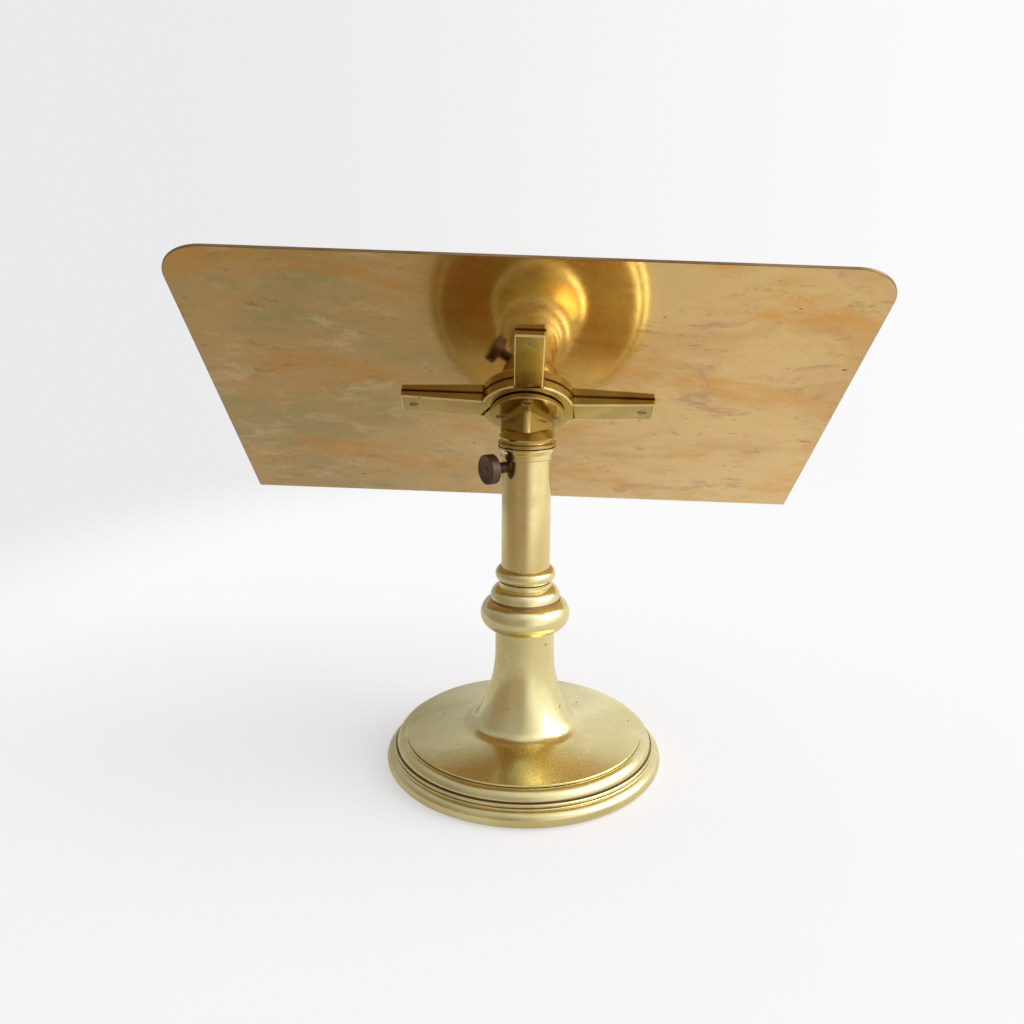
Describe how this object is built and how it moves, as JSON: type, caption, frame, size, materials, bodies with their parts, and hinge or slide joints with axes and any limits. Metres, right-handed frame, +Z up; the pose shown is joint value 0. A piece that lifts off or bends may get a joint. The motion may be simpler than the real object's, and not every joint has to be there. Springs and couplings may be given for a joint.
{
  "type": "table-top music stand",
  "caption": "Free-standing brass music stand for a table: a sloping sheet desk with a book ledge that turns and rises on a clamped stem over a turned pillar and a round moulded foot.",
  "frame": {"origin": "on the column's axis at the surface the foot stands on", "axes": "+Z up along the column, +X along the desk's long edge, +Y towards the reader, so the desk's upper edge leans towards -Y"},
  "size_m": [0.4449, 0.2655, 0.3826],
  "materials": {
    "polished_brass": "polished, lightly tarnished",
    "satin_brass": "satin, worn turned casting",
    "sheet_brass": "polished sheet with mottled tarnish",
    "dark_bronze": "dark brown patina",
    "screw_brass": "dull, slotted",
    "packing_fibre": "pressed fibre",
    "green_baize": "felted wool"
  },
  "bodies": {
    "column": {"baize_pad": "green_baize", "foot_ring": "satin_brass", "foot_screws": "screw_brass", "pillar": "satin_brass", "knop": "satin_brass", "neck_ring": "satin_brass", "outer_tube": "polished_brass", "tube_collar": "polished_brass"},
    "clamp_shoe_body": {"clamp_shoe": "screw_brass"},
    "clamp_screw": {"clamp_screw_shank": "dark_bronze", "clamp_screw_head": "dark_bronze"},
    "guide": {"guide_ring": "polished_brass"},
    "desk": {"guide_washer": "screw_brass", "guide_screw": "screw_brass", "stem_plug": "polished_brass", "stem_tube": "polished_brass", "head_casting": "polished_brass", "head_pin": "screw_brass", "packing_washer": "packing_fibre", "flange_screws": "screw_brass", "desk_bracket": "polished_brass", "arm_screws": "screw_brass", "desk_plate": "sheet_brass"}
  },
  "joints": [
    {"name": "stem_slide", "type": "slide", "parent": "column", "child": "guide", "axis": [0, 0, 1], "range_m": [0, 0.1]},
    {"name": "desk_swivel", "type": "hinge", "parent": "guide", "child": "desk", "pos_m": [0, 0, 0.095], "axis": [0, 0, 1], "continuous": true},
    {"name": "shoe_travel", "type": "slide", "parent": "column", "child": "clamp_shoe_body", "axis": [-0.8192, -0.5736, 0], "range_m": [0, 0.00195]},
    {"name": "clamp_screw_turn", "type": "hinge", "parent": "clamp_shoe_body", "child": "clamp_screw", "pos_m": [-0.02457, -0.01721, 0.2295], "axis": [-0.8192, -0.5736, 0], "range_deg": [0, 720]}
  ],
  "couplings": [
    {"joint": "clamp_screw_turn", "follows": "shoe_travel", "rad_per_m": 6431.6}
  ]
}
